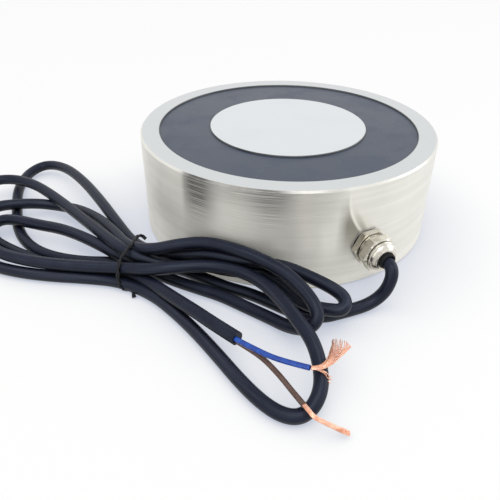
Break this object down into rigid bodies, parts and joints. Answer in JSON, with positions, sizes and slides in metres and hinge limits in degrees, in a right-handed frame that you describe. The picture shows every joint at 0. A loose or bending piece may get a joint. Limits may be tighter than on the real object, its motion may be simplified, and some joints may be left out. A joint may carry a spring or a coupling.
{
  "type": "holding electromagnet",
  "caption": "Round pot electromagnet that holds steel by its flat face, with a potted coil, a rim cable gland and a two-core cord tied in a hank.",
  "frame": {"origin": "centre of the flat back face, on the pot's axis", "axes": "+Z along the pot's axis out of the holding face, -Y along the cable gland, +X completes the frame"},
  "size_m": [0.2435, 0.2539, 0.05],
  "materials": {
    "nickel_steel": "satin nickel plating with fine turning marks",
    "potting_resin": "cast epoxy, satin",
    "bobbin_plastic": "moulded, matt",
    "copper": "bare or enamelled copper wire",
    "tape": "polyester tape",
    "nickel_brass": "bright nickel plating",
    "black_rubber": "matt",
    "nylon": "moulded, matt",
    "jacket": "satin cord jacket",
    "blue_insulation": "satin",
    "brown_insulation": "satin",
    "tie_plastic": "plastic coated wire",
    "sleeve": "shrink sleeve"
  },
  "bodies": {
    "root": {"pot": "nickel_steel", "potting": "potting_resin", "coil_bobbin": "bobbin_plastic", "copper_winding": "copper", "winding_tape": "tape", "inner_core_blue": "blue_insulation", "inner_core_brown": "brown_insulation", "splice_sleeve_blue": "sleeve", "splice_sleeve_brown": "sleeve", "winding_lead_blue": "copper", "winding_lead_brown": "copper", "gland_gasket": "black_rubber", "gland_body": "nickel_brass", "gland_claw": "nylon", "gland_seal": "black_rubber", "gland_nut": "nickel_brass", "cord_lead": "jacket", "cord_hank": "jacket", "cord_front_loop": "jacket", "cord_free_end": "jacket", "core_blue": "blue_insulation", "core_brown": "brown_insulation", "strands_blue": "copper", "strands_brown": "copper", "cord_tie": "tie_plastic"}
  },
  "joints": []
}
